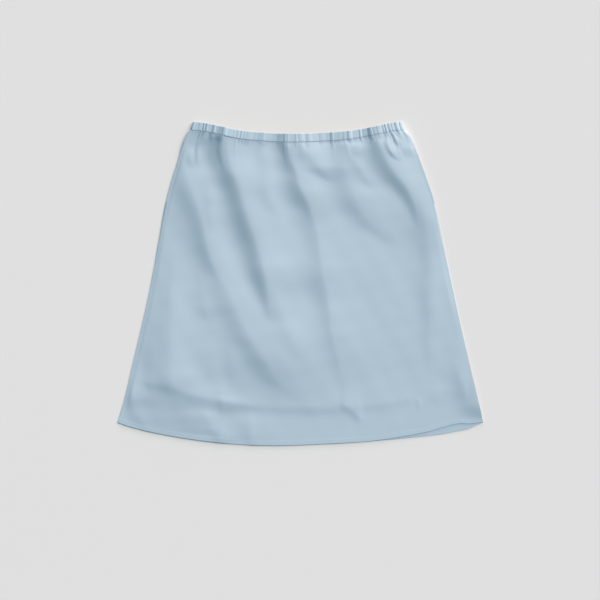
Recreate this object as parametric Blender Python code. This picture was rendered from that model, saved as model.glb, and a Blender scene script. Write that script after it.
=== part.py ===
"""A satin slip skirt with an elastic waist, laid flat on its back.

Metres. +X runs across the skirt, +Y from the hem to the waist and +Z up from the table. The origin is under
the middle of the outline. Each piece is a wall between an outer and an inner face, over one sheet of
places: u runs across it from 0 to 1, and v from its lower edge to its upper edge.
"""

from collections import namedtuple

import bmesh
import bpy
import numpy as np

# Cloth and seams
CLOTH = 0.0012
SEAM_GAP = 0.0003

# Waistband: a narrow casing, ruched by the elastic inside it
BAND_HEIGHT = 0.0128
BAND_THICKNESS = 0.0024
BAND_ROUNDING = 0.0006
RUCHES = 46
RUCHE_DEPTH = 0.0010
RUCHE_AT_MIDDLE = 0.40
RUCHE_FULLNESS = 2.6
BAND_LEFT = -0.1605
BAND_RIGHT = 0.1535
BAND_END_SLANT = 0.0030
BAND_END_ROUNDING = 0.0030

# Panels: where the sides meet the hem and the waistband seam
HEM_CORNER_Y = -0.2065
SEAM_CORNER_Y = 0.2312
PANEL_HEIGHT = SEAM_CORNER_Y - HEM_CORNER_Y

# How the cloth gathers under the waistband, fading out downwards
GATHER_RISE = 0.0010
GATHER_SHORTEST = 0.006
GATHER_LONGEST = 0.020
GATHER_END = 0.090
BACK_GATHER_SHARE = 0.7
CROWDING_REACH = 0.060

# How the front panel rounds over its side seams, and rises to the waistband
PUFF = 0.0005
SIDE_ROUNDING = 0.009
SEAM_LIFT = 0.0018
SEAM_LIFT_REACH = 0.075

# How the lower right corner of the front stands off the back, between two heights up the side
CORNER_LIFT = 0.0026
CORNER_LIFT_REACH = 0.024
CORNER_LIFT_ENDS = (-0.050, -0.165, -0.180, -0.206)

# How the folds end: they narrow as they flatten, level out at the sides and the hem, and never dip
FOLD_NARROWEST = 0.35
CREST_ROUNDING = 0.0020
CREST_SHARE = 0.25
GENTLE_ROUNDNESS = 1.4
START_ROUNDING = 0.012
FOLD_SIDE_FADE = 0.008
LEVEL_AT_SIDE = 0.050
LEVEL_AT_HEM = 0.045
HEM_SETTLES = 0.8
SETTLING = 0.00025

Section = namedtuple("Section", "y left right")
SECTIONS = (
    Section(-0.2065, -0.2738, 0.2742),
    Section(-0.1740, -0.2642, 0.2665),
    Section(-0.1140, -0.2500, 0.2525),
    Section(-0.0540, -0.2357, 0.2388),
    Section(0.0060, -0.2228, 0.2258),
    Section(0.0660, -0.2122, 0.2130),
    Section(0.1260, -0.2009, 0.2003),
    Section(0.1560, -0.1926, 0.1903),
    Section(0.1860, -0.1827, 0.1792),
    Section(0.2160, -0.1738, 0.1671),
    Section(0.2250, -0.1700, 0.1625),
    Section(0.2312, -0.1660, 0.1570),
)

WaistPoint = namedtuple("WaistPoint", "x top")
WAIST = (
    WaistPoint(-0.1655, 0.2440),
    WaistPoint(-0.1465, 0.2422),
    WaistPoint(-0.1285, 0.2384),
    WaistPoint(-0.0925, 0.2305),
    WaistPoint(-0.0565, 0.2270),
    WaistPoint(-0.0120, 0.2250),
    WaistPoint(0.0335, 0.2268),
    WaistPoint(0.0695, 0.2293),
    WaistPoint(0.1055, 0.2351),
    WaistPoint(0.1415, 0.2425),
    WaistPoint(0.1560, 0.2440),
)

# The back's hem, and how far above it the front's hem lies, showing a sliver of the back at the right
HemPoint = namedtuple("HemPoint", "x back front_above")
HEM = (
    HemPoint(-0.2750, -0.2065, 0.0002),
    HemPoint(-0.2635, -0.2112, 0.0003),
    HemPoint(-0.2365, -0.2188, 0.0004),
    HemPoint(-0.1825, -0.2297, 0.0004),
    HemPoint(-0.1285, -0.2371, 0.0004),
    HemPoint(-0.0475, -0.2420, 0.0003),
    HemPoint(0.0335, -0.2397, 0.0004),
    HemPoint(0.1145, -0.2347, 0.0008),
    HemPoint(0.1685, -0.2296, 0.0042),
    HemPoint(0.1955, -0.2268, 0.0070),
    HemPoint(0.2160, -0.2240, 0.0104),
    HemPoint(0.2350, -0.2203, 0.0113),
    HemPoint(0.2540, -0.2162, 0.0074),
    HemPoint(0.2690, -0.2092, 0.0020),
    HemPoint(0.2750, -0.2065, 0.0002),
)
HEM_LIFT_POWER = 5

# A fold's path is its crest. It falls steeply on the path's right, and gently on its left, where the path
# runs downwards, over these lengths. Roundness is 1 for a sharp crest and 2 for a round one. At its start,
# the fold has the given share of its full size.
Fold = namedtuple("Fold", "rise steep gentle roundness start fade_in fade_out path")
FOLDS = (
    # The deepest fold, from the waist at the left down towards the middle
    Fold(0.0070, 0.0220, 0.080, 2.0, 0.50, 0.100, 0.140, (
        (-0.117, 0.240), (-0.108, 0.205), (-0.099, 0.175), (-0.090, 0.150), (-0.074, 0.100), (-0.057, 0.050),
        (-0.040, 0.000), (-0.027, -0.040), (-0.012, -0.090))),
    # The long fold from the left side seam, which turns across the lower left
    Fold(0.0036, 0.024, 0.090, 1.7, 0.10, 0.080, 0.240, (
        (-0.176, 0.215), (-0.169, 0.175), (-0.163, 0.150), (-0.149, 0.100), (-0.138, 0.050), (-0.119, 0.008),
        (-0.098, -0.035), (-0.070, -0.080), (-0.043, -0.115), (-0.017, -0.150), (0.008, -0.180))),
    # The broad slope of the lower left, under that fold
    Fold(0.0056, 0.100, 0.095, 1.6, 0.0, 0.200, 0.110, (
        (-0.160, 0.140), (-0.142, 0.070), (-0.106, -0.015), (-0.090, -0.055), (-0.060, -0.098),
        (-0.020, -0.150), (0.020, -0.200))),
    # The middle fold, from the waist to above the hem
    Fold(0.0042, 0.018, 0.070, 1.5, 0.60, 0.050, 0.280, (
        (-0.024, 0.228), (-0.015, 0.195), (-0.002, 0.160), (0.013, 0.132), (0.022, 0.105), (0.027, 0.075),
        (0.033, 0.035), (0.043, -0.015), (0.051, -0.062), (0.062, -0.105), (0.076, -0.165))),
    # A short fold right of the middle
    Fold(0.0018, 0.014, 0.020, 1.8, 0.0, 0.030, 0.035, (
        (0.002, 0.200), (0.017, 0.189), (0.030, 0.176), (0.038, 0.161), (0.040, 0.144))),
    # The slanting fold beside it
    Fold(0.0036, 0.020, 0.060, 1.9, 0.35, 0.080, 0.100, (
        (0.040, 0.230), (0.053, 0.180), (0.062, 0.152), (0.072, 0.133), (0.085, 0.116), (0.102, 0.100),
        (0.130, 0.078), (0.164, 0.054))),
    # The deep fold at the right
    Fold(0.0066, 0.020, 0.048, 2.0, 0.30, 0.075, 0.090, (
        (0.104, 0.240), (0.112, 0.216), (0.121, 0.200), (0.132, 0.183), (0.147, 0.165), (0.158, 0.150),
        (0.167, 0.135), (0.174, 0.118), (0.181, 0.095), (0.184, 0.078))),
    # The straight fold that it turns into
    Fold(0.0030, 0.019, 0.035, 1.8, 0.0, 0.050, 0.170, (
        (0.184, 0.125), (0.194, 0.095), (0.199, 0.055), (0.200, 0.000), (0.198, -0.060), (0.195, -0.145))),
    # The wedge beside the lower right corner
    Fold(0.0042, 0.026, 0.020, 1.3, 0.0, 0.080, 0.0, (
        (0.230, -0.104), (0.237, -0.130), (0.246, -0.156), (0.254, -0.180), (0.264, -0.208))),
    # The straight fold down the lower left, which widens
    Fold(0.0022, 0.020, 0.030, 1.5, 0.0, 0.120, 0.040, (
        (-0.190, 0.050), (-0.192, 0.000), (-0.193, -0.060), (-0.194, -0.110), (-0.193, -0.172))),
    # The print of an inner hem, whose step is deepest at the left
    Fold(0.0010, 0.010, 0.050, 1.7, 0.2, 0.020, 0.180, (
        (-0.240, -0.143), (-0.195, -0.151), (-0.162, -0.163), (-0.119, -0.171), (-0.070, -0.179),
        (0.000, -0.182), (0.060, -0.182), (0.120, -0.177), (0.225, -0.163))),
    Fold(0.0060, 0.080, 0.090, 1.4, 0.7, 0.030, 0.130, (
        (-0.252, -0.140), (-0.195, -0.150), (-0.162, -0.162), (-0.119, -0.171), (-0.060, -0.179))),
)

# Sheets: faces across, and rows up to each share of the height
Rows = namedtuple("Rows", "up_to count")
FRONT_ACROSS = 2 * RUCHES
FRONT_ROWS = (Rows(0.10, 3), Rows(0.925, 20), Rows(1.0, 5))
BACK_ROWS = (Rows(0.10, 2), Rows(0.925, 7), Rows(1.0, 5))
BAND_ROWS = (Rows(0.10, 1), Rows(0.90, 1), Rows(1.0, 1))

# The back panel's topmost rows are twice as fine
FINE_FROM = 0.925
SAME_ROW = 1e-6

SATIN_BLUE = (0.45, 0.55, 0.64, 1.0)
SATIN_ROUGHNESS = 0.45


def ease(t):
    """0 up to t = 0, 1 from t = 1, and a soft step between."""
    t = np.clip(t, 0.0, 1.0)
    return t * t * (3.0 - 2.0 * t)


def smooth(known, values, at):
    """A smooth curve through known values, level beyond the first and the last."""
    slopes = np.gradient(values, known)
    i = np.clip(np.searchsorted(known, at) - 1, 0, len(known) - 2)
    span = known[i + 1] - known[i]
    t = np.clip((at - known[i]) / span, 0.0, 1.0)
    start = values[i] * (1 + 2 * t) * (1 - t) ** 2 + slopes[i] * span * t * (1 - t) ** 2
    end = values[i + 1] * (3 - 2 * t) * t**2 - slopes[i + 1] * span * (1 - t) * t**2
    return start + end


def read(table, given, wanted, at):
    """A table's wanted column at these values of its given column, smooth between the rows."""
    known = np.array([getattr(row, given) for row in table])
    values = np.array([getattr(row, wanted) for row in table])
    return smooth(known, values, at)


def beside(path, x, y):
    """How far each place lies to the left of a path, how far along it, and the path's length."""
    points = np.array(path)
    run = points[-1] - points[0]
    main = int(abs(run[1]) > abs(run[0]))
    order = np.argsort(points[:, main])
    known, values = points[order, main], points[order, 1 - main]
    at, off = ((x, y), (y, x))[main]
    tilt = np.interp(at, known, np.gradient(values, known))
    beyond = at - np.clip(at, known[0], known[-1])
    across = (off - smooth(known, values, at) - beyond * tilt) / np.hypot(1.0, tilt)
    length = np.hypot(*np.diff(points, axis=0).T).sum()
    along = (at - points[0, main]) / run[main] * length
    return across * (-np.sign(run[1]) if main else np.sign(run[0])), along, length


def flank(away, length, roundness, rounding):
    """A fold's height beside its crest, as a share, falling over a length."""
    from_crest = np.sqrt(np.square(away) + rounding**2) - rounding
    return np.exp(-np.power(from_crest / length, roundness))


def fold_height(fold, x, y):
    left, along, length = beside(fold.path, x, y)
    full = ease(1 + along / START_ROUNDING)
    if fold.fade_in:
        full *= fold.start + (1 - fold.start) * ease(along / fold.fade_in)
    if fold.fade_out:
        full *= ease((length - along) / fold.fade_out)
    narrowing = FOLD_NARROWEST + (1 - FOLD_NARROWEST) * full
    reach = np.where(left < 0, fold.steep, fold.gentle) * narrowing
    roundness = np.where(left < 0, fold.roundness, min(fold.roundness, GENTLE_ROUNDNESS))
    rounding = min(CREST_ROUNDING, CREST_SHARE * min(fold.steep, fold.gentle))
    return fold.rise * full * flank(left, reach, roundness, rounding)


def uneven(number):
    """A share from 0 to 1 that differs from one ruche to the next."""
    return 0.5 + 0.5 * np.sin(2.4 * number + 1.7 * np.sin(0.9 * number))


def ruche_edges():
    """Where each ruche of the waistband starts, as shares of it: narrower at both ends, and uneven."""
    number = np.arange(RUCHES)
    widths = (1.35 - 0.55 * np.square(2 * number / RUCHES - 1)) * (0.55 + 0.9 * uneven(1.7 * number))
    return np.concatenate([[0.0], np.cumsum(widths)]) / widths.sum()


def crowding(u):
    """How the ruches shift sideways from even places."""
    return np.interp(u * RUCHES, np.arange(RUCHES + 1), ruche_edges()) - u


def seam_y(x):
    return read(WAIST, "x", "top", x) - BAND_HEIGHT


def ruche(u):
    """The ruches' relief: full between their narrow troughs, and each of its own strength."""
    number = np.clip(np.floor(u * RUCHES), 0, RUCHES - 1)
    within = u * RUCHES - number
    at_middle = RUCHE_AT_MIDDLE + (1 - RUCHE_AT_MIDDLE) * np.square(2 * u - 1)
    return at_middle * (0.15 + 0.85 * uneven(number) ** 2) * (1 - np.abs(2 * within - 1) ** RUCHE_FULLNESS)


def panel_place(u, v, front_lift):
    """Where the cloth of a panel lies in plan."""
    side_y = HEM_CORNER_Y + PANEL_HEIGHT * v
    left = read(SECTIONS, "y", "left", side_y)
    right = read(SECTIONS, "y", "right", side_y)
    below_seam = (1 - v) * PANEL_HEIGHT
    x = left + (right - left) * (u + crowding(u) * np.exp(-below_seam / CROWDING_REACH))
    bottom, top = SECTIONS[0], SECTIONS[-1]
    hem_x = bottom.left + (bottom.right - bottom.left) * u
    hem_drop = read(HEM, "x", "back", hem_x) - HEM_CORNER_Y
    seam_x = top.left + (top.right - top.left) * (u + crowding(u))
    seam_drop = seam_y(seam_x) - SEAM_GAP - SEAM_CORNER_Y
    y = side_y + (1 - v) * hem_drop + v * seam_drop
    y += front_lift * (1 - v) ** HEM_LIFT_POWER * read(HEM, "x", "front_above", hem_x)
    return x, y


def gather_height(u, v):
    """The gathers' relief under the waistband, each fading out over its own length."""
    below_seam = (1 - v) * PANEL_HEIGHT
    number = np.clip(np.floor(u * RUCHES), 0, RUCHES - 1)
    length = GATHER_SHORTEST + (GATHER_LONGEST - GATHER_SHORTEST) * uneven(number + 3) ** 3
    fading = np.exp(-below_seam / length) * ease(1 - below_seam / GATHER_END)
    return GATHER_RISE * ruche(u) * fading


def corner_lift(u, y):
    top, full_from, full_to, bottom = CORNER_LIFT_ENDS
    width = read(SECTIONS, "y", "right", y) - read(SECTIONS, "y", "left", y)
    across = np.exp(-np.square((1 - u) * width / CORNER_LIFT_REACH))
    rising, ending = (top - y) / (top - full_from), (y - bottom) / (full_to - bottom)
    return CORNER_LIFT * across * ease(rising) * ease(ending)


def back_under(u, v):
    """The back panel's face on the table, flat but for its gathers."""
    return BACK_GATHER_SHARE * gather_height(u, v)


def fold_relief(x, y):
    return sum(fold_height(fold, x, y) for fold in FOLDS)


def front_under(u, v, x, y):
    """The front panel's inner face: on the back panel, and above it in each fold and gather."""
    above_hem, below_seam = v * PANEL_HEIGHT, (1 - v) * PANEL_HEIGHT
    left, right = read(SECTIONS, "y", "left", y), read(SECTIONS, "y", "right", y)
    from_side = np.minimum(u, 1 - u) * (right - left)
    relief = fold_relief(x, y)
    for side in (left, right):
        relief -= fold_relief(side, y) * np.exp(-np.square((x - side) / LEVEL_AT_SIDE))
    at_hem = fold_relief(x, read(HEM, "x", "back", x))
    relief -= HEM_SETTLES * at_hem * np.exp(-np.square(above_hem / LEVEL_AT_HEM))
    relief = (relief + np.sqrt(np.square(relief) + SETTLING**2)) / 2
    rounding = np.sqrt(1 - np.square(1 - np.clip(from_side / SIDE_ROUNDING, 0, 1)))
    raised = PUFF + SEAM_LIFT * np.exp(-np.square(below_seam / SEAM_LIFT_REACH))
    lying = back_under(u, v) + CLOTH + SEAM_GAP + corner_lift(u, y)
    return lying + gather_height(u, v) + raised * rounding + relief * ease(from_side / FOLD_SIDE_FADE)


def back_panel(u, v, outer):
    x, y = panel_place(u, v, 0.0)
    return x, y, back_under(u, v) + np.where(outer, 0.0, CLOTH)


def front_panel(u, v, outer):
    x, y = panel_place(u, v, 1.0)
    return x, y, front_under(u, v, x, y) + np.where(outer, CLOTH, 0.0)


def band_place(u, v):
    """Where the casing lies in plan, with its ends slanting in towards the top."""
    left = BAND_LEFT - BAND_END_SLANT * (1 - v)
    right = BAND_RIGHT + BAND_END_SLANT * (1 - v)
    x = left + (right - left) * (u + crowding(u))
    return x, seam_y(x) + BAND_HEIGHT * v


def band_edges(u, v):
    """How far each face of the casing draws in, at its long edges and at its ends."""
    from_edge = np.minimum(v, 1 - v) * BAND_HEIGHT
    from_end = np.minimum(u, 1 - u) * (BAND_RIGHT - BAND_LEFT)
    at_edge = 1 - ease(from_edge / (2 * BAND_ROUNDING))
    at_end = 1 - ease(from_end / BAND_END_ROUNDING)
    return BAND_ROUNDING * np.maximum(at_edge, at_end)


def band_back(u, v, outer):
    x, y = band_place(u, v)
    under = RUCHE_DEPTH * (1 - ruche(u)) * np.sin(np.pi * np.clip(v, 0.15, 0.85))
    return x, y, np.where(outer, under + band_edges(u, v), BAND_THICKNESS)


def band_front(u, v, outer):
    x, y = band_place(u, v)
    under = BAND_THICKNESS + SEAM_GAP
    raised = RUCHE_DEPTH * ruche(u) * np.sin(np.pi * np.clip(v, 0.15, 0.85))
    top = under + BAND_THICKNESS + raised - band_edges(u, v)
    return x, y, np.where(outer, top, under)


def satin(name):
    material = bpy.data.materials.new(name)
    material.use_nodes = True
    shader = material.node_tree.nodes["Principled BSDF"]
    shader.inputs["Base Color"].default_value = SATIN_BLUE
    shader.inputs["Roughness"].default_value = SATIN_ROUGHNESS
    shader.inputs["Metallic"].default_value = 0.0
    return material


def row_places(rows):
    """The share of the height at which each row of faces starts and ends."""
    places = [0.0]
    for part in rows:
        start = places[-1]
        places += [start + (part.up_to - start) * (i + 1) / part.count for i in range(part.count)]
    return np.array(places)


def sheet(across, rows, fine_from):
    """A flat unit sheet of faces, in a bmesh, whose rows above a share of its height are twice as fine."""
    places = row_places(rows)
    count = len(places) - 1
    made = bmesh.new()
    bmesh.ops.create_grid(made, x_segments=across, y_segments=count, size=0.5)
    for vert in made.verts:
        vert.co.x += 0.5
        vert.co.y = places[round((vert.co.y + 0.5) * count)]
    level = [edge for edge in made.edges if abs(edge.verts[0].co.y - edge.verts[1].co.y) < SAME_ROW]
    upper = [edge for edge in level if edge.verts[0].co.y > fine_from - SAME_ROW]
    if fine_from < 1.0:
        bmesh.ops.subdivide_edges(made, edges=upper, cuts=1, use_grid_fill=True, use_single_edge=True)
    return made


def wall(name, made, form, collection):
    """Gives a flat sheet its second face, and takes both to the form that a function gives."""
    copied = bmesh.ops.extrude_face_region(made, geom=made.faces[:])
    for item in copied["geom"]:
        if isinstance(item, bmesh.types.BMVert):
            item.co.z = 1.0
    points = np.array([vert.co for vert in made.verts])
    x, y, z = form(points[:, 0], points[:, 1], points[:, 2] > 0.5)
    for vert, place in zip(made.verts, np.column_stack([x, y, z])):
        vert.co = place
    bmesh.ops.recalc_face_normals(made, faces=made.faces[:])
    mesh = bpy.data.meshes.new(name)
    made.to_mesh(mesh)
    made.free()
    mesh.shade_smooth()
    mesh.materials.append(satin(name + "_satin"))
    piece = bpy.data.objects.new(name, mesh)
    collection.objects.link(piece)


def build():
    for old in list(bpy.data.objects):
        bpy.data.objects.remove(old)
    skirt = bpy.data.collections.new("slip_skirt")
    bpy.context.scene.collection.children.link(skirt)
    wall("back_panel", sheet(RUCHES, BACK_ROWS, FINE_FROM), back_panel, skirt)
    wall("front_panel", sheet(FRONT_ACROSS, FRONT_ROWS, 1.0), front_panel, skirt)
    wall("waistband_back", sheet(2 * RUCHES, BAND_ROWS, 1.0), band_back, skirt)
    wall("waistband_front", sheet(2 * RUCHES, BAND_ROWS, 1.0), band_front, skirt)


build()
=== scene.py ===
import math
from collections import namedtuple

import bmesh
import bpy
import numpy as np
from mathutils import Euler, Matrix, Vector


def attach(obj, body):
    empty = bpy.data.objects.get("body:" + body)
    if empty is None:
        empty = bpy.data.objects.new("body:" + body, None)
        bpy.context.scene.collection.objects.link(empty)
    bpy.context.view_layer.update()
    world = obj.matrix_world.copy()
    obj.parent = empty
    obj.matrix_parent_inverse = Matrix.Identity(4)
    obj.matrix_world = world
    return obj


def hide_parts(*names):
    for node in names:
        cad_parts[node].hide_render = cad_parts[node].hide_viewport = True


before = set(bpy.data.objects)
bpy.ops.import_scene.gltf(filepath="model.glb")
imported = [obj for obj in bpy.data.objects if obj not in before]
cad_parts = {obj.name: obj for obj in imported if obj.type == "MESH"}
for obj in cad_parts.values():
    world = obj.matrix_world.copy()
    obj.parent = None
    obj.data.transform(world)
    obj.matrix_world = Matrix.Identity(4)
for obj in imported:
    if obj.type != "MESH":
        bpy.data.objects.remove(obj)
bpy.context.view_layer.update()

# Cloth: its thickness, and how high the front panel's inner face lies above the back panel's lower one
CLOTH = 0.0004
LYING_ON = 0.0005

# The turned hem: its depth, how far it is raised, and over what length that ends
HEM_TURNING = 0.0055
HEM_RAISED = 0.0001
HEM_STEP = 0.0006

# Waistband: a narrow casing, ruched by the elastic inside it
BAND_HEIGHT = 0.0128
BAND_THICKNESS = 0.0012
BAND_ROUNDING = 0.00015
SEAM_ROUNDING = 0.0002
BAND_LEFT = -0.1605
BAND_RIGHT = 0.1535
BAND_END_SLANT = 0.0030
BAND_END_ROUNDING = 0.0010

# The front casing's inner face: its lowest place, how far below the front panel's raised seam it lies, and
# the share of that rise that is lost at the top edge
BAND_UNDER = 0.0014
SEAM_STEP = 0.0004
BAND_TILT = 0.02

# Ruches: their relief, and how far the troughs between them notch the top edge
RUCHES = 46
RUCHE_DEPTH = 0.0007
RUCHE_NOTCH = 0.0003

# Shares of that relief: at the middle of the waist, in the weakest ruche, and at the seam
RUCHE_AT_MIDDLE = 0.40
RUCHE_WEAKEST = 0.15
RUCHE_AT_SEAM = 0.8

# The power that keeps a ruche full over most of its width, and the share of the band's height from which it
# is complete
RUCHE_FULLNESS = 2.6
RUCHE_FULL_FROM = 0.4

# How high the back casing's lower face is between its ruches, in reliefs, so that no ruche reaches the table
RUCHE_BASE = 1.12

# Widths of the ruches, before they are scaled to fill the band
RUCHE_WIDE = 1.35
RUCHE_NARROWER_AT_ENDS = 0.55
RUCHE_LEAST_WIDTH = 0.55
RUCHE_WIDTH_SPAN = 0.9
RUCHE_WIDTH_STRIDE = 1.7

# How far the ruches slant, in widths of one, and how often that turns along the band; then the finer ruches,
# their relief as a share and how many there are to a ruche
RUCHE_SLANT = 0.3
SLANT_HALF_WAVES = 5.0
FINE_RUCHE = 0.07
FINE_RUCHES_EACH = 2.6

# What makes one ruche differ from the next
UNEVEN_STRIDE = 2.4
UNEVEN_SWING = 1.7
UNEVEN_SWING_STRIDE = 0.9

# Panels: where the sides meet the hem and the waistband seam
HEM_CORNER_Y = -0.2065
SEAM_CORNER_Y = 0.2312
SEAM_GAP = 0.00005
PANEL_HEIGHT = SEAM_CORNER_Y - HEM_CORNER_Y

# How the cloth gathers under the waistband, fading out downwards
GATHER_RISE = 0.0008
GATHER_SHORTEST = 0.004
GATHER_LONGEST = 0.016
GATHER_END = 0.090
BACK_GATHER_SHARE = 0.9

# How far down the ruches' crowding shows in the panels
CROWDING_REACH = 0.060

# How the front panel rises to the waistband, and rounds over its side seams there
SIDE_ROUNDING = 0.0003
SEAM_LIFT = 0.0032
SEAM_LIFT_REACH = 0.050

# Where the right side stands off the table, both panels together: beside the deep fold, and at the corner
Lift = namedtuple("Lift", "rise reach top full_from full_to bottom")
LIFTS = (
    Lift(0.0020, 0.045, 0.260, 0.140, 0.110, 0.020),
    Lift(0.0026, 0.024, -0.050, -0.165, -0.180, -0.206),
)

# How the folds end: they narrow as they flatten, also towards the side seams, and never dip below the cloth
FOLD_NARROWEST = 0.35
CREST_ROUNDING = 0.0020
CREST_SHARE = 0.25
GENTLE_ROUNDNESS = 1.4
START_ROUNDING = 0.012
FOLD_SIDE_FADE = 0.008
LEVEL_AT_SIDE = 0.050
LEVEL_AT_HEM = 0.045
HEM_SETTLES = 0.8
SETTLING = 0.00018

# The cut, laid flat: each sheet's widths before it was gathered, and its length
Cut = namedtuple("Cut", "bottom top length")
PANEL_CUT = Cut(0.580, 0.405, 0.475)
CASING_CUT = Cut(0.405, 0.405, BAND_HEIGHT)

# The side seams' places at heights up the skirt
Section = namedtuple("Section", "y left right")
SECTIONS = (
    Section(-0.2065, -0.2738, 0.2742),
    Section(-0.1740, -0.2642, 0.2665),
    Section(-0.1140, -0.2500, 0.2525),
    Section(-0.0540, -0.2357, 0.2388),
    Section(0.0060, -0.2228, 0.2258),
    Section(0.0660, -0.2122, 0.2130),
    Section(0.1260, -0.2009, 0.2003),
    Section(0.1560, -0.1926, 0.1903),
    Section(0.1860, -0.1827, 0.1792),
    Section(0.2160, -0.1738, 0.1671),
    Section(0.2250, -0.1700, 0.1625),
    Section(0.2312, -0.1660, 0.1570),
)

# The top edge of the waistband
WaistPoint = namedtuple("WaistPoint", "x top")
WAIST = (
    WaistPoint(-0.1655, 0.2440),
    WaistPoint(-0.1465, 0.2422),
    WaistPoint(-0.1285, 0.2384),
    WaistPoint(-0.0925, 0.2305),
    WaistPoint(-0.0565, 0.2270),
    WaistPoint(-0.0120, 0.2250),
    WaistPoint(0.0335, 0.2268),
    WaistPoint(0.0695, 0.2293),
    WaistPoint(0.1055, 0.2351),
    WaistPoint(0.1415, 0.2425),
    WaistPoint(0.1560, 0.2440),
)

# The back's hem, and how far above it the front's hem lies, showing a sliver of the back at the right
HemPoint = namedtuple("HemPoint", "x back front_above")
HEM = (
    HemPoint(-0.2750, -0.2065, 0.0002),
    HemPoint(-0.2635, -0.2112, 0.0003),
    HemPoint(-0.2365, -0.2188, 0.0004),
    HemPoint(-0.1825, -0.2297, 0.0004),
    HemPoint(-0.1285, -0.2371, 0.0004),
    HemPoint(-0.0475, -0.2420, 0.0003),
    HemPoint(0.0335, -0.2397, 0.0004),
    HemPoint(0.1145, -0.2347, 0.0008),
    HemPoint(0.1685, -0.2296, 0.0042),
    HemPoint(0.1955, -0.2268, 0.0070),
    HemPoint(0.2160, -0.2240, 0.0104),
    HemPoint(0.2350, -0.2203, 0.0113),
    HemPoint(0.2540, -0.2162, 0.0074),
    HemPoint(0.2690, -0.2092, 0.0020),
    HemPoint(0.2750, -0.2065, 0.0002),
)

# How quickly that lift of the front's hem ends up the skirt
HEM_LIFT_POWER = 5

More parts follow.
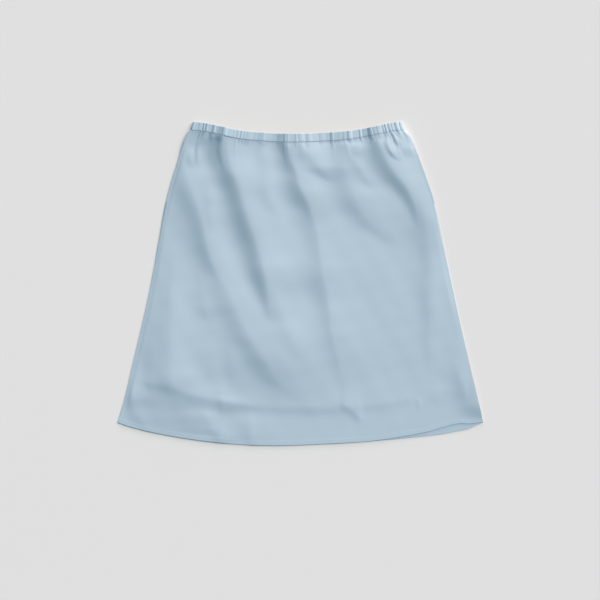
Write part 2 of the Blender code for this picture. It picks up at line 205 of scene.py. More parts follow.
# A fold's path is its crest. It falls steeply on the path's right, and gently on its left, where the path
# runs downwards, over these lengths. Roundness is 1 for a sharp crest and 2 for a round one. At its start,
# the fold has the given share of its full size.
Fold = namedtuple("Fold", "rise steep gentle roundness start fade_in fade_out path")
FOLDS = (
    # The deepest fold, from the waist at the left down towards the middle
    Fold(0.0074, 0.0220, 0.080, 2.0, 0.66, 0.100, 0.095, (
        (-0.113, 0.240), (-0.106, 0.205), (-0.098, 0.175), (-0.0885, 0.150), (-0.0745, 0.100),
        (-0.057, 0.050), (-0.0465, 0.000), (-0.043, -0.040), (-0.040, -0.060))),
    # The soft slope below its end
    Fold(0.0015, 0.024, 0.060, 1.7, 0.0, 0.050, 0.060, (
        (-0.040, 0.002), (-0.027, -0.040), (-0.010, -0.080), (0.006, -0.122))),
    # The fold from the left side seam
    Fold(0.0046, 0.024, 0.080, 1.7, 0.20, 0.060, 0.130, (
        (-0.173, 0.215), (-0.171, 0.175), (-0.164, 0.150), (-0.145, 0.100), (-0.135, 0.050),
        (-0.117, 0.008), (-0.104, -0.015))),
    # The fold that continues it across the lower left
    Fold(0.0027, 0.022, 0.090, 1.7, 0.0, 0.140, 0.090, (
        (-0.151, 0.120), (-0.145, 0.100), (-0.135, 0.050), (-0.118, 0.010), (-0.104, -0.013),
        (-0.096, -0.031), (-0.088, -0.048), (-0.081, -0.064), (-0.073, -0.080), (-0.0625, -0.0945),
        (-0.053, -0.110), (-0.043, -0.125), (-0.0345, -0.141), (-0.0215, -0.155), (-0.009, -0.168),
        (0.007, -0.180))),
    # The broad slope of the lower left, under that fold
    Fold(0.0046, 0.100, 0.095, 1.6, 0.0, 0.240, 0.140, (
        (-0.160, 0.140), (-0.142, 0.070), (-0.106, -0.015), (-0.090, -0.055), (-0.064, -0.098),
        (-0.030, -0.150), (0.005, -0.200))),
    # The middle fold, from the waist to above the hem, stronger near the waist
    Fold(0.0030, 0.018, 0.070, 1.5, 0.80, 0.050, 0.170, (
        (-0.024, 0.228), (-0.014, 0.198), (-0.0105, 0.184), (-0.003, 0.165), (0.000, 0.150),
        (0.0085, 0.132), (0.0165, 0.114), (0.0205, 0.100), (0.027, 0.080), (0.031, 0.050), (0.035, 0.020),
        (0.0415, -0.010), (0.0455, -0.040), (0.047, -0.062), (0.051, -0.080), (0.057, -0.105),
        (0.068, -0.165))),
    Fold(0.0026, 0.018, 0.050, 1.6, 0.6, 0.020, 0.060, (
        (-0.022, 0.222), (-0.0145, 0.198), (-0.0105, 0.184), (-0.003, 0.165), (0.000, 0.150),
        (0.0085, 0.132), (0.0165, 0.114), (0.0205, 0.100), (0.0255, 0.085))),
    # A short fold right of the middle
    Fold(0.0021, 0.015, 0.032, 1.7, 0.7, 0.026, 0.034, (
        (0.000, 0.214), (0.013, 0.198), (0.025, 0.184), (0.034, 0.173), (0.042, 0.162), (0.050, 0.150))),
    # The slanting fold beside it
    Fold(0.0032, 0.021, 0.050, 1.9, 0.60, 0.070, 0.100, (
        (0.064, 0.230), (0.068, 0.200), (0.072, 0.170), (0.0765, 0.151), (0.084, 0.136), (0.0915, 0.1195),
        (0.1005, 0.1035), (0.112, 0.0885), (0.126, 0.077), (0.141, 0.065), (0.168, 0.050))),
    # The deep fold at the right
    Fold(0.0052, 0.0165, 0.055, 2.0, 0.60, 0.080, 0.090, (
        (0.114, 0.240), (0.120, 0.216), (0.1275, 0.200), (0.136, 0.183), (0.148, 0.165), (0.160, 0.150),
        (0.169, 0.135), (0.175, 0.118), (0.179, 0.095), (0.182, 0.078))),
    # The straight fold that it turns into
    Fold(0.0027, 0.019, 0.035, 1.8, 0.0, 0.050, 0.170, (
        (0.184, 0.125), (0.191, 0.095), (0.198, 0.055), (0.1985, 0.000), (0.1975, -0.060),
        (0.195, -0.145))),
    # The wedge beside the lower right corner
    Fold(0.0042, 0.027, 0.040, 1.3, 0.0, 0.080, 0.0, (
        (0.230, -0.104), (0.237, -0.130), (0.246, -0.156), (0.254, -0.180), (0.264, -0.208))),
    # The straight fold down the lower left, which widens
    Fold(0.0022, 0.020, 0.030, 1.5, 0.0, 0.120, 0.040, (
        (-0.190, 0.050), (-0.192, 0.000), (-0.193, -0.060), (-0.194, -0.110), (-0.193, -0.172))),
    # The print of an inner hem, whose step is deepest at the left
    Fold(0.0010, 0.010, 0.050, 1.7, 0.2, 0.020, 0.180, (
        (-0.240, -0.143), (-0.195, -0.151), (-0.162, -0.163), (-0.119, -0.171), (-0.070, -0.179),
        (0.000, -0.182), (0.060, -0.182), (0.120, -0.177), (0.225, -0.163))),
    Fold(0.0040, 0.054, 0.090, 1.4, 0.5, 0.050, 0.130, (
        (-0.252, -0.140), (-0.195, -0.150), (-0.162, -0.162), (-0.119, -0.171), (-0.060, -0.179))),
)

# Smaller creases of the same kind
CREASES = (
    # Out of the waistband, from left to right
    Fold(0.0018, 0.0045, 0.0090, 1.7, 1.0, 0.0, 0.050, (
        (-0.1395, 0.240), (-0.142, 0.2275), (-0.1455, 0.2175), (-0.1505, 0.209), (-0.153, 0.198),
        (-0.1535, 0.186), (-0.153, 0.172))),
    Fold(0.0009, 0.0060, 0.0140, 1.8, 0.0, 0.015, 0.020, (
        (-0.160, 0.208), (-0.163, 0.193), (-0.163, 0.172))),
    Fold(0.0010, 0.0030, 0.0080, 1.8, 1.0, 0.0, 0.010, (
        (-0.130, 0.240), (-0.1315, 0.224), (-0.1335, 0.213))),
    Fold(0.0014, 0.0150, 0.0120, 1.7, 0.7, 0.008, 0.040, (
        (-0.128, 0.226), (-0.127, 0.204), (-0.1255, 0.165))),
    Fold(0.0011, 0.0030, 0.0080, 1.8, 1.0, 0.0, 0.012, (
        (-0.1195, 0.238), (-0.121, 0.222), (-0.1235, 0.210))),
    Fold(0.0013, 0.0050, 0.0110, 1.7, 1.0, 0.0, 0.055, (
        (-0.1135, 0.237), (-0.1155, 0.221), (-0.1175, 0.2115), (-0.119, 0.202), (-0.117, 0.185),
        (-0.111, 0.160))),
    Fold(0.0006, 0.0030, 0.0080, 1.8, 1.0, 0.0, 0.010, (
        (-0.085, 0.228), (-0.085, 0.216), (-0.084, 0.207))),
    Fold(0.0014, 0.0150, 0.0200, 1.7, 0.4, 0.030, 0.060, (
        (-0.060, 0.217), (-0.052, 0.190), (-0.047, 0.160), (-0.046, 0.137), (-0.041, 0.118),
        (-0.025, 0.094))),
    Fold(0.0006, 0.0030, 0.0080, 1.8, 1.0, 0.0, 0.010, (
        (-0.055, 0.224), (-0.056, 0.213), (-0.055, 0.204))),
    Fold(0.0005, 0.0030, 0.0080, 1.8, 1.0, 0.0, 0.010, (
        (-0.031, 0.224), (-0.031, 0.212), (-0.030, 0.204))),
    Fold(0.0009, 0.0050, 0.0150, 1.8, 0.9, 0.0, 0.040, (
        (-0.023, 0.222), (-0.022, 0.204), (-0.019, 0.172))),
    Fold(0.0004, 0.0030, 0.0080, 1.8, 1.0, 0.0, 0.008, (
        (-0.007, 0.220), (-0.007, 0.210), (-0.006, 0.203))),
    Fold(0.0005, 0.0030, 0.0080, 1.8, 1.0, 0.0, 0.008, (
        (0.014, 0.220), (0.012, 0.210), (0.011, 0.203))),
    Fold(0.0009, 0.0026, 0.0080, 1.8, 1.0, 0.0, 0.007, ((0.049, 0.225), (0.0485, 0.211))),
    Fold(0.0010, 0.0028, 0.0080, 1.8, 1.0, 0.0, 0.007, ((0.073, 0.228), (0.0725, 0.212))),
    Fold(0.0009, 0.0080, 0.0180, 1.6, 0.2, 0.012, 0.030, (
        (0.067, 0.217), (0.0695, 0.2095), (0.0775, 0.194), (0.087, 0.179), (0.096, 0.167), (0.106, 0.150),
        (0.117, 0.138))),
    Fold(0.0007, 0.0070, 0.0100, 1.8, 0.3, 0.010, 0.014, (
        (0.086, 0.214), (0.086, 0.200), (0.085, 0.188))),
    Fold(0.0024, 0.0260, 0.0300, 1.5, 0.6, 0.015, 0.050, (
        (0.115, 0.226), (0.115, 0.200), (0.113, 0.160))),
    Fold(0.0006, 0.0030, 0.0080, 1.8, 1.0, 0.0, 0.008, ((0.107, 0.232), (0.107, 0.214))),
    Fold(0.0006, 0.0030, 0.0080, 1.8, 1.0, 0.0, 0.008, ((0.119, 0.234), (0.119, 0.216))),
    Fold(0.0012, 0.0032, 0.0120, 1.6, 1.0, 0.0, 0.020, (
        (0.130, 0.236), (0.1305, 0.222), (0.131, 0.208), (0.1355, 0.199), (0.1435, 0.189), (0.152, 0.182))),
    Fold(0.0018, 0.0040, 0.0090, 1.7, 1.0, 0.0, 0.018, (
        (0.1375, 0.240), (0.1415, 0.224), (0.146, 0.212), (0.150, 0.202))),
    Fold(0.0011, 0.0034, 0.0080, 1.7, 1.0, 0.0, 0.012, (
        (0.146, 0.240), (0.1485, 0.227), (0.153, 0.214))),
    Fold(0.0008, 0.0100, 0.0120, 1.8, 0.3, 0.015, 0.018, (
        (0.155, 0.216), (0.160, 0.204), (0.164, 0.188))),
    # Beside the larger folds
    Fold(0.0008, 0.0090, 0.0200, 1.8, 0.0, 0.030, 0.040, (
        (-0.136, 0.155), (-0.133, 0.120), (-0.129, 0.072))),
    Fold(0.0011, 0.0140, 0.0350, 1.6, 0.0, 0.045, 0.030, (
        (-0.151, 0.026), (-0.143, -0.018), (-0.136, -0.060))),
    Fold(0.0007, 0.0180, 0.0200, 1.8, 0.0, 0.040, 0.040, (
        (-0.140, -0.070), (-0.132, -0.105), (-0.126, -0.155))),
    Fold(0.0007, 0.0140, 0.0200, 1.8, 0.0, 0.040, 0.040, (
        (-0.106, -0.080), (-0.100, -0.115), (-0.095, -0.165))),
    # Along the side seams
    Fold(0.0007, 0.0070, 0.0500, 1.7, 0.5, 0.020, 0.020, (
        (-0.169, 0.200), (-0.193, 0.120), (-0.208, 0.050), (-0.225, -0.040), (-0.245, -0.130),
        (-0.259, -0.190))),
    Fold(0.0004, 0.0120, 0.0100, 1.7, 0.0, 0.060, 0.060, (
        (0.200, 0.126), (0.213, 0.066), (0.226, 0.006), (0.239, -0.054), (0.253, -0.114))),
    # In the hem, from left to right
    Fold(0.0009, 0.0120, 0.0300, 1.5, 0.0, 0.030, 0.030, (
        (-0.244, -0.146), (-0.247, -0.170), (-0.245, -0.188), (-0.238, -0.202), (-0.224, -0.224))),
    Fold(0.0009, 0.0260, 0.0140, 1.3, 0.0, 0.020, 0.016, (
        (-0.151, -0.183), (-0.142, -0.199), (-0.134, -0.213), (-0.126, -0.230))),
    Fold(0.0009, 0.0090, 0.0250, 1.3, 0.2, 0.015, 0.020, (
        (-0.119, -0.163), (-0.116, -0.180), (-0.116, -0.198))),
    Fold(0.0008, 0.0090, 0.0200, 1.3, 0.2, 0.016, 0.016, (
        (-0.119, -0.213), (-0.121, -0.228), (-0.122, -0.245))),
    Fold(0.0012, 0.0220, 0.0200, 1.2, 0.2, 0.025, 0.030, (
        (-0.077, -0.186), (-0.075, -0.215), (-0.074, -0.250))),
    Fold(0.0008, 0.0060, 0.0160, 1.4, 0.2, 0.015, 0.020, (
        (0.056, -0.179), (0.072, -0.184), (0.084, -0.195), (0.101, -0.206))),
    Fold(0.0004, 0.0140, 0.0200, 1.8, 0.0, 0.015, 0.020, (
        (0.206, -0.145), (0.211, -0.168), (0.211, -0.192))),
    Fold(0.0004, 0.0040, 0.0060, 1.6, 0.0, 0.008, 0.008, (
        (0.177, -0.168), (0.178, -0.178), (0.178, -0.190))),
)

# The slow unevenness of cloth that was smoothed flat by hand: height, and waves across and up a metre
Unevenness = namedtuple("Unevenness", "height across up phase")
UNEVENNESS = (
    Unevenness(0.00009, 10.0, 6.0, 0.3),
    Unevenness(0.00006, -17.0, 9.0, 1.9),
    Unevenness(0.00004, 26.0, 15.0, 4.0),
    Unevenness(0.00003, 9.0, -31.0, 2.6),
)

# Sheets: faces across, and rows of them up to each share of the height. The outermost columns are narrow.
Rows = namedtuple("Rows", "up_to count")
EDGE_COLUMN = 0.15
FRONT_ACROSS = 260
FRONT_ROWS = (Rows(0.02, 6), Rows(0.86, 110), Rows(1.0, 44))
BACK_ACROSS = 184
BACK_ROWS = (Rows(0.02, 6), Rows(0.86, 50), Rows(1.0, 34))
BAND_ACROSS = 736
BAND_ROWS = (Rows(0.16, 4), Rows(0.84, 8), Rows(1.0, 4))

# Edges that turn more sharply than this many degrees stay crisp
SHARP_FROM = 55

# Stitches: half a thread's thickness, a stitch's length and pitch, and where the rows run, as a share of the
# casing's height and as a length above the hem
THREAD = 0.00014
STITCH = 0.0024
STITCH_PITCH = 0.0032
SEAM_STITCH_AT = 0.10
HEM_STITCH_UP = 0.0052

# Colours, as linear values
SATIN_BLUE = (0.482, 0.568, 0.650)
SATIN_DEEP = (0.468, 0.553, 0.635)
INSIDE_BLUE = (0.440, 0.540, 0.625)
THREAD_BLUE = (0.440, 0.545, 0.635)
TABLE_GREY = (0.825, 0.770, 0.750)

# Satin, as its outside, its inside and the casing show it
Satin = namedtuple("Satin", "name high low roughness sheen weave")
OUTSIDE = Satin("satin_outside", SATIN_BLUE, SATIN_DEEP, 0.50, 0.08, 0.25)
INSIDE = Satin("satin_inside", INSIDE_BLUE, SATIN_DEEP, 0.55, 0.05, 0.20)
CASING = Satin("satin_casing", SATIN_BLUE, SATIN_DEEP, 0.42, 0.10, 0.25)

# How many of the satin's floats and slubs lie in a metre, across and along, and how deep they are
FLOATS = (2600.0, 260.0, 0.0)
SLUBS = (420.0, 60.0, 0.0)
WEAVE_DEPTH = 0.00008

# Where two patterns mix, the share of the first
FIRST_SHARE = 0.7

# The table, and the view from straight above
TABLE_HALF = 4.0
VIEW_CENTRE = (-0.0006, -0.0236)
VIEW_WIDTH = 0.9
VIEW_HEIGHT = 2.5
SENSOR = 36.0

# Soft lights, with bearings clockwise from +Y, elevations and spreads in degrees, and the sky's own light
Sun = namedtuple("Sun", "name strength bearing elevation spread")
SUNS = (
    Sun("key", 4.65, 44, 28, 46),
    Sun("low", 2.0, 8, 6.5, 9),
)
LAMP_COLOUR = (1.0, 0.925, 0.860)
SKY_COLOUR = (0.50, 1.00, 1.28, 1.0)
SKY_STRENGTH = 0.25


def ease(t):
    """0 up to t = 0, 1 from t = 1, and a soft step between."""
    t = np.clip(t, 0.0, 1.0)
    return t * t * (3.0 - 2.0 * t)


def smooth(known, values, at):
    """A smooth curve through known values, level beyond the first and the last."""
    slopes = np.gradient(values, known)
    i = np.clip(np.searchsorted(known, at) - 1, 0, len(known) - 2)
    span = known[i + 1] - known[i]
    t = np.clip((at - known[i]) / span, 0.0, 1.0)
    start = values[i] * (1 + 2 * t) * (1 - t) ** 2 + slopes[i] * span * t * (1 - t) ** 2
    end = values[i + 1] * (3 - 2 * t) * t**2 - slopes[i + 1] * span * (1 - t) * t**2
    return start + end


def read(table, given, wanted, at):
    """A table's wanted column at these values of its given column, smooth between the rows."""
    known = np.array([getattr(row, given) for row in table])
    values = np.array([getattr(row, wanted) for row in table])
    return smooth(known, values, at)


def beside(path, x, y):
    """How far each place lies to the left of a path, how far along it, and the path's length."""
    points = np.array(path)
    run = points[-1] - points[0]
    main = int(abs(run[1]) > abs(run[0]))
    order = np.argsort(points[:, main])
    known, values = points[order, main], points[order, 1 - main]
    at, off = ((x, y), (y, x))[main]
    tilt = np.interp(at, known, np.gradient(values, known))
    beyond = at - np.clip(at, known[0], known[-1])
    across = (off - smooth(known, values, at) - beyond * tilt) / np.hypot(1.0, tilt)
    length = np.hypot(*np.diff(points, axis=0).T).sum()
    along = (at - points[0, main]) / run[main] * length
    return across * (-np.sign(run[1]) if main else np.sign(run[0])), along, length


def flank(away, length, roundness, rounding):
    """A fold's height beside its crest, as a share, falling over a length."""
    from_crest = np.sqrt(np.square(away) + rounding**2) - rounding
    return np.exp(-np.power(from_crest / length, roundness))


def fold_height(fold, x, y):
    left, along, length = beside(fold.path, x, y)
    full = ease(1 + along / START_ROUNDING)
    if fold.fade_in:
        full *= fold.start + (1 - fold.start) * ease(along / fold.fade_in)
    if fold.fade_out:
        full *= ease((length - along) / fold.fade_out)
    narrowing = FOLD_NARROWEST + (1 - FOLD_NARROWEST) * full
    reach = np.where(left < 0, fold.steep, fold.gentle) * narrowing
    roundness = np.where(left < 0, fold.roundness, min(fold.roundness, GENTLE_ROUNDNESS))
    rounding = min(CREST_ROUNDING, CREST_SHARE * min(fold.steep, fold.gentle))
    return fold.rise * full * flank(left, reach, roundness, rounding)


def uneven(number):
    """A share from 0 to 1 that differs from one ruche to the next."""
    return 0.5 + 0.5 * np.sin(UNEVEN_STRIDE * number + UNEVEN_SWING * np.sin(UNEVEN_SWING_STRIDE * number))


def ruche_edges():
    """Where each ruche of the waistband starts, as shares of it: narrower at both ends, and uneven."""
    number = np.arange(RUCHES)
    widths = RUCHE_WIDE - RUCHE_NARROWER_AT_ENDS * np.square(2 * number / RUCHES - 1)
    widths *= RUCHE_LEAST_WIDTH + RUCHE_WIDTH_SPAN * uneven(RUCHE_WIDTH_STRIDE * number)
    return np.concatenate([[0.0], np.cumsum(widths)]) / widths.sum()


def crowding(u):
    """How the ruches shift sideways from even places."""
    return np.interp(u * RUCHES, np.arange(RUCHES + 1), ruche_edges()) - u


def seam_y(x):
    """Where the waistband's seam runs."""
    return read(WAIST, "x", "top", x) - BAND_HEIGHT


def ruche(u):
    """The ruches' relief: full between their narrow troughs, and each of its own strength."""
    number = np.clip(np.floor(u * RUCHES), 0, RUCHES - 1)
    within = u * RUCHES - number
    by_place = RUCHE_AT_MIDDLE + (1 - RUCHE_AT_MIDDLE) * np.square(2 * u - 1)
    strength = RUCHE_WEAKEST + (1 - RUCHE_WEAKEST) * uneven(number) ** 2
    return by_place * strength * (1 - np.abs(2 * within - 1) ** RUCHE_FULLNESS)


def panel_place(u, v, front_lift):
    """Where the cloth of a panel lies in plan."""
    side_y = HEM_CORNER_Y + PANEL_HEIGHT * v
    left = read(SECTIONS, "y", "left", side_y)
    right = read(SECTIONS, "y", "right", side_y)
    below_seam = (1 - v) * PANEL_HEIGHT
    x = left + (right - left) * (u + crowding(u) * np.exp(-below_seam / CROWDING_REACH))
    bottom, top = SECTIONS[0], SECTIONS[-1]
    hem_x = bottom.left + (bottom.right - bottom.left) * u
    hem_drop = read(HEM, "x", "back", hem_x) - HEM_CORNER_Y
    seam_x = top.left + (top.right - top.left) * (u + crowding(u))
    seam_drop = seam_y(seam_x) - SEAM_GAP - SEAM_CORNER_Y
    y = side_y + (1 - v) * hem_drop + v * seam_drop
    y += front_lift * (1 - v) ** HEM_LIFT_POWER * read(HEM, "x", "front_above", hem_x)
    return x, y


def gather_height(u, v):
    """The gathers' relief under the waistband, each fading out over its own length."""
    below_seam = (1 - v) * PANEL_HEIGHT
    number = np.clip(np.floor(u * RUCHES), 0, RUCHES - 1)
    length = GATHER_SHORTEST + (GATHER_LONGEST - GATHER_SHORTEST) * uneven(number + 3) ** 3
    fading = np.exp(-below_seam / length) * ease(1 - below_seam / GATHER_END)
    return GATHER_RISE * ruche(u) * fading


def side_lift(u, y):
    """How far the right side stands off the table."""
    width = read(SECTIONS, "y", "right", y) - read(SECTIONS, "y", "left", y)
    total = 0.0
    for lift in LIFTS:
        rising = ease((lift.top - y) / (lift.top - lift.full_from))
        ending = ease((y - lift.bottom) / (lift.full_to - lift.bottom))
        total = total + lift.rise * rising * ending * np.exp(-np.square((1 - u) * width / lift.reach))
    return total


def back_under(u, v, y):
    """The back panel's face on the table, flat but for its gathers and its lifted side."""
    return BACK_GATHER_SHARE * gather_height(u, v) + side_lift(u, y)


def slow_wave(wave, x, y):
    return wave.height * np.sin(2 * np.pi * (wave.across * x + wave.up * y) + wave.phase)


def fold_relief(folds, x, y):
    return sum(fold_height(fold, x, y) for fold in folds)


def slow_waves(x, y):
    return sum(slow_wave(wave, x, y) for wave in UNEVENNESS)


def front_under(u, v, x, y):
    """The front panel's inner face: on the back panel, and above it in each fold and gather."""
    above_hem, below_seam = v * PANEL_HEIGHT, (1 - v) * PANEL_HEIGHT
    left, right = read(SECTIONS, "y", "left", y), read(SECTIONS, "y", "right", y)
    from_side = np.minimum(u, 1 - u) * (right - left)
    relief = fold_relief(FOLDS, x, y)
    for side in (left, right):
        relief -= fold_relief(FOLDS, side, y) * np.exp(-np.square((x - side) / LEVEL_AT_SIDE))
    at_hem = fold_relief(FOLDS, x, read(HEM, "x", "back", x))
    relief -= HEM_SETTLES * at_hem * np.exp(-np.square(above_hem / LEVEL_AT_HEM))
    relief += fold_relief(CREASES, x, y) + slow_waves(x, y)
    relief = (relief + np.sqrt(np.square(relief) + SETTLING**2) - SETTLING) / 2
    rounding = np.sqrt(1 - np.square(1 - np.clip(from_side / SIDE_ROUNDING, 0, 1)))
    raised = SEAM_LIFT * np.exp(-below_seam / SEAM_LIFT_REACH)
    lying = back_under(u, v, y) + LYING_ON
    return lying + gather_height(u, v) + raised * rounding + relief * ease(from_side / FOLD_SIDE_FADE)


def hem_turning(v):
    """The hem's folded edge, raised a little above the single cloth."""
    return HEM_RAISED * (1 - ease((v * PANEL_HEIGHT - HEM_TURNING) / HEM_STEP))


def back_panel_form(u, v, outer):
    x, y = panel_place(u, v, 0.0)
    return x, y, back_under(u, v, y) + np.where(outer, 0.0, CLOTH)


def front_panel_form(u, v, outer):
    x, y = panel_place(u, v, 1.0)
    return x, y, front_under(u, v, x, y) + np.where(outer, CLOTH + hem_turning(v), 0.0)


def band_place(u, v):
    """Where the casing lies in plan, its ends slanting in towards the top, and its top notched by ruches."""
    left = BAND_LEFT - BAND_END_SLANT * (1 - v)
    right = BAND_RIGHT + BAND_END_SLANT * (1 - v)
    x = left + (right - left) * (u + crowding(u))
    return x, seam_y(x) + (BAND_HEIGHT - RUCHE_NOTCH * (1 - ruche(u))) * v


def band_edges(u, v):
    """How far each face of the casing draws in, at its long edges and at its ends."""
    from_end = np.minimum(u, 1 - u) * (BAND_RIGHT - BAND_LEFT)
    at_top = BAND_ROUNDING * (1 - ease((1 - v) * BAND_HEIGHT / (2 * BAND_ROUNDING)))
    at_seam = SEAM_ROUNDING * (1 - ease(v * BAND_HEIGHT / (2 * SEAM_ROUNDING)))
    at_end = BAND_ROUNDING * (1 - ease(from_end / BAND_END_ROUNDING))
    return np.maximum(np.maximum(at_top, at_seam), at_end)


def casing_relief(u, v):
    """The ruches of the casing, slanting a little and each of its own strength, with finer ones between."""
    slant = RUCHE_SLANT * np.sin(SLANT_HALF_WAVES * np.pi * u) * (v - 0.5) / RUCHES
    fine = FINE_RUCHE * np.abs(np.sin(np.pi * FINE_RUCHES_EACH * RUCHES * (u - slant)))
    by_height = RUCHE_AT_SEAM + (1 - RUCHE_AT_SEAM) * ease(v / RUCHE_FULL_FROM)
    return (ruche(np.clip(u + slant, 0, 1)) + fine) * by_height


def waistband_back_form(u, v, outer):
    x, y = band_place(u, v)
    under = RUCHE_DEPTH * (RUCHE_BASE - casing_relief(u, v))
    return x, y, np.where(outer, under + band_edges(u, v), BAND_THICKNESS)


def band_front_under(u, v):
    """The front casing's inner face, which rises where the folds of the front panel lift its seam."""
    at_seam = np.ones_like(u)
    seam = front_under(u, at_seam, *panel_place(u, at_seam, 1.0)) - gather_height(u, at_seam)
    lifted = np.maximum(seam - SEAM_STEP - BAND_UNDER, 0)
    return BAND_UNDER + lifted * (1 - BAND_TILT * ease(v))


def waistband_front_form(u, v, outer):
    x, y = band_place(u, v)
    under = band_front_under(u, v)
    top = under + BAND_THICKNESS + RUCHE_DEPTH * casing_relief(u, v) - band_edges(u, v)
    return x, y, np.where(outer, top, under)


class Value:
    """A node's output, on which arithmetic adds Math nodes."""

    def __init__(self, finish, socket):
        self.finish = finish
        self.socket = socket

    def maths(self, operation, *values):
        return self.finish.node("ShaderNodeMath", {"operation": operation}, dict(enumerate(values)))

    def __add__(self, other):
        return self.maths("ADD", self, other)

    def __sub__(self, other):
        return self.maths("SUBTRACT", self, other)

    def __mul__(self, other):
        return self.maths("MULTIPLY", self, other)

    __radd__ = __add__


class Finish:
    """A material, built up node by node."""

    def __init__(self, name):
        self.material = bpy.data.materials.new(name)
        self.material.use_nodes = True
        self.tree = self.material.node_tree
        self.shader = self.tree.nodes["Principled BSDF"]

    def node(self, kind, settings, inputs, output=0):
        made = self.tree.nodes.new(kind)
        for name, value in settings.items():
            setattr(made, name, value)
        for name, value in inputs.items():
            self.put(made.inputs[name], value)
        return Value(self, made.outputs[output])

    def put(self, socket, value):
        if isinstance(value, Value):
            self.tree.links.new(value.socket, socket)
        else:
            socket.default_value = value

    def set(self, **values):
        for name, value in values.items():
            self.put(self.shader.inputs[name.replace("_", " ")], value)

    def mix(self, factor, first, second):
        colours = {"Factor": factor, 6: (*first, 1.0), 7: (*second, 1.0)}
        return self.node("ShaderNodeMix", {"data_type": "RGBA"}, colours, 2)


def around(middle, pattern, span):
    """A value that a pattern moves up and down from its middle."""
    return middle + (pattern - 0.5) * span


def mostly(first, second):
    """Two patterns mixed, with more of the first."""
    return first * FIRST_SHARE + second * (1 - FIRST_SHARE)


def satin_finish(satin):
    """Satin: long floats along the length, a soft sheen and a slight unevenness of colour."""
    finish = Finish(satin.name)
    cut = finish.node("ShaderNodeUVMap", {"uv_map": "cut"}, {})
    floats_at = finish.node("ShaderNodeVectorMath", {"operation": "MULTIPLY"}, {0: cut, 1: FLOATS})
    floats = finish.node("ShaderNodeTexNoise", {}, {"Vector": floats_at, "Scale": 1.0, "Detail": 2.0})
    slubs_at = finish.node("ShaderNodeVectorMath", {"operation": "MULTIPLY"}, {0: cut, 1: SLUBS})
    slubs = finish.node("ShaderNodeTexNoise", {}, {"Vector": slubs_at, "Scale": 1.0, "Detail": 3.0})
    place = finish.node("ShaderNodeTexCoord", {}, {}, "Object")
    clouds = finish.node("ShaderNodeTexNoise", {}, {"Vector": place, "Scale": 9.0, "Detail": 4.0})
    weave = {"Strength": satin.weave, "Distance": WEAVE_DEPTH, "Height": mostly(floats, slubs)}
    finish.set(
        Base_Color=finish.mix(mostly(clouds, slubs), satin.low, satin.high),
        Roughness=around(satin.roughness, floats, 0.08),
        Normal=finish.node("ShaderNodeBump", {}, weave),
        Sheen_Weight=satin.sheen,
        Sheen_Roughness=0.35,
        Specular_IOR_Level=0.30,
    )
    return finish.material


def thread_finish():
    finish = Finish("thread")
    place = finish.node("ShaderNodeTexCoord", {}, {}, "Object")
    twist = finish.node("ShaderNodeTexNoise", {}, {"Vector": place, "Scale": 3000.0})
    bump = finish.node("ShaderNodeBump", {}, {"Strength": 0.3, "Distance": 0.00003, "Height": twist})
    finish.set(Base_Color=(*THREAD_BLUE, 1.0), Roughness=around(0.5, twist, 0.2), Normal=bump)
    return finish.material


def table_finish():
    finish = Finish("table")
    place = finish.node("ShaderNodeTexCoord", {}, {}, "Object")
    grain = finish.node("ShaderNodeTexNoise", {}, {"Vector": place, "Scale": 400.0})
    finish.set(Base_Color=(*TABLE_GREY, 1.0), Roughness=around(0.9, grain, 0.05))
    return finish.material


def row_places(rows):
    """The share of the height at which each row of faces starts and ends."""
    places = [0.0]
    for part in rows:
        start = places[-1]
        places += [start + (part.up_to - start) * (i + 1) / part.count for i in range(part.count)]
    return np.array(places)


def wall(name, across, rows, form, cut, finish):
    """A sheet of cloth with its two faces: a flat grid, copied for the second face, then formed."""
    columns = np.arange(across + 1) / across
    columns[[1, -2]] = [EDGE_COLUMN / across, 1 - EDGE_COLUMN / across]
    places = row_places(rows)
    count = len(places) - 1
    made = bmesh.new()
    bmesh.ops.create_grid(made, x_segments=across, y_segments=count, size=0.5)
    bmesh.ops.translate(made, verts=made.verts[:], vec=(0.5, 0.5, 0.0))
    for vert in made.verts:
        vert.co.x, vert.co.y = columns[round(vert.co.x * across)], places[round(vert.co.y * count)]
    copied = bmesh.ops.extrude_face_region(made, geom=made.faces[:])
    second = [item for item in copied["geom"] if isinstance(item, bmesh.types.BMVert)]
    bmesh.ops.translate(made, verts=second, vec=(0.0, 0.0, 1.0))
    flat = made.loops.layers.uv.new("cut")
    for face in made.faces:
        for loop in face.loops:
            u, v, _ = loop.vert.co
            loop[flat].uv = ((u - 0.5) * (cut.bottom + (cut.top - cut.bottom) * v), v * cut.length)
    points = np.array([vert.co for vert in made.verts])
    x, y, z = form(points[:, 0], points[:, 1], points[:, 2] > 0.5)
    for vert, place in zip(made.verts, np.column_stack([x, y, z])):
        vert.co = place
    bmesh.ops.recalc_face_normals(made, faces=made.faces[:])
    return keep(name, made, finish)


def keep(name, made, finish):
    """Turns a bmesh into a smooth-shaded object in the scene, riding on the skirt's one body."""
    mesh = bpy.data.meshes.new(name)
    made.to_mesh(mesh)
    made.free()
    mesh.shade_smooth()
    mesh.set_sharp_from_angle(angle=math.radians(SHARP_FROM))
    mesh.materials.append(finish)
    piece = bpy.data.objects.new(name, mesh)
    bpy.context.scene.collection.objects.link(piece)
    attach(piece, "root")
    return piece


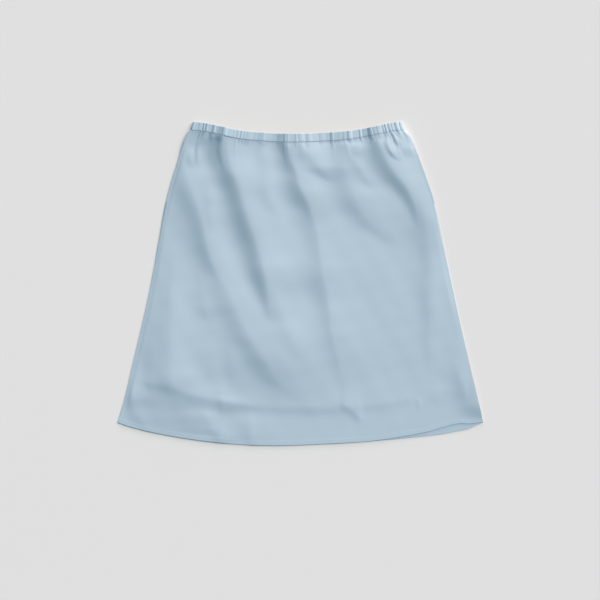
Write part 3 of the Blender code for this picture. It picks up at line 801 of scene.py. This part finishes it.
def stitch_row(name, ends, form, height, finish):
    """A row of short stitches lying on a piece's outer face, at a share of its height."""
    made = bmesh.new()
    x, y, z = form(ends, np.full(ends.shape, height), np.full(ends.shape, True))
    line = np.column_stack([x, y, z])
    for start, end in zip(line[::2], line[1::2]):
        middle = Vector((start + end) / 2)
        along = Vector(end - start)
        turn = along.to_track_quat("X", "Z").to_matrix().to_4x4()
        size = Matrix.Diagonal((along.length / 2, THREAD, THREAD, 1.0))
        bmesh.ops.create_uvsphere(
            made, u_segments=8, v_segments=5, radius=1.0, matrix=Matrix.Translation(middle) @ turn @ size
        )
    return keep(name, made, finish)


def stitch_places(length):
    """Where each stitch of a row starts and ends, as shares of its length, in turn."""
    count = int(length / STITCH_PITCH)
    starts = (np.arange(count) + 0.5) * STITCH_PITCH / length
    return np.column_stack([starts, starts + STITCH / length]).ravel()


def dress(node):
    """Hides the solid that a sheet stands for."""
    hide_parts(node)


def make_panels():
    outside = satin_finish(OUTSIDE)
    inside = satin_finish(INSIDE)
    back = wall("back_satin", BACK_ACROSS, BACK_ROWS, back_panel_form, PANEL_CUT, inside)
    dress("back_panel")
    front = wall("front_satin", FRONT_ACROSS, FRONT_ROWS, front_panel_form, PANEL_CUT, outside)
    dress("front_panel")


def make_waistband():
    casing = satin_finish(CASING)
    back = wall("casing_back", BAND_ACROSS, BAND_ROWS, waistband_back_form, CASING_CUT, casing)
    dress("waistband_back")
    front = wall("casing_front", BAND_ACROSS, BAND_ROWS, waistband_front_form, CASING_CUT, casing)
    dress("waistband_front")


def make_stitches():
    thread = thread_finish()
    waist = stitch_places(BAND_RIGHT - BAND_LEFT)
    hem = stitch_places(SECTIONS[0].right - SECTIONS[0].left)
    for name, places, form, height, slot in (
        ("seam_stitches_front", waist, waistband_front_form, SEAM_STITCH_AT, "satin_waistband"),
        ("seam_stitches_back", waist, waistband_back_form, SEAM_STITCH_AT, "satin_waistband"),
        ("hem_stitches_front", hem, front_panel_form, HEM_STITCH_UP / PANEL_HEIGHT, "satin_front"),
    ):
        stitch_row(name, places, form, height, thread)


def make_table():
    made = bmesh.new()
    bmesh.ops.create_grid(made, x_segments=1, y_segments=1, size=TABLE_HALF)
    mesh = bpy.data.meshes.new("table")
    made.to_mesh(mesh)
    made.free()
    mesh.materials.append(table_finish())
    table = bpy.data.objects.new("table", mesh)
    bpy.context.scene.collection.objects.link(table)


def make_camera():
    camera = bpy.data.cameras.new("camera")
    camera.sensor_width = SENSOR
    camera.lens = SENSOR * VIEW_HEIGHT / VIEW_WIDTH
    placed = bpy.data.objects.new("camera", camera)
    placed.location = (*VIEW_CENTRE, VIEW_HEIGHT)
    bpy.context.scene.collection.objects.link(placed)
    bpy.context.scene.camera = placed


def make_sun(sun):
    light = bpy.data.lights.new(sun.name, "SUN")
    light.energy = sun.strength
    light.color = LAMP_COLOUR
    light.angle = math.radians(sun.spread)
    placed = bpy.data.objects.new(sun.name, light)
    turn = (math.radians(90 - sun.elevation), 0.0, math.radians(180 - sun.bearing))
    placed.rotation_euler = Euler(turn, "XYZ")
    bpy.context.scene.collection.objects.link(placed)


def make_light():
    for sun in SUNS:
        make_sun(sun)
    world = bpy.data.worlds.new("studio")
    world.use_nodes = True
    sky = world.node_tree.nodes["Background"].inputs
    sky["Color"].default_value = SKY_COLOUR
    sky["Strength"].default_value = SKY_STRENGTH
    bpy.context.scene.world = world
    bpy.context.scene.view_settings.view_transform = "Standard"


make_table()
make_panels()
make_waistband()
make_stitches()
make_camera()
make_light()
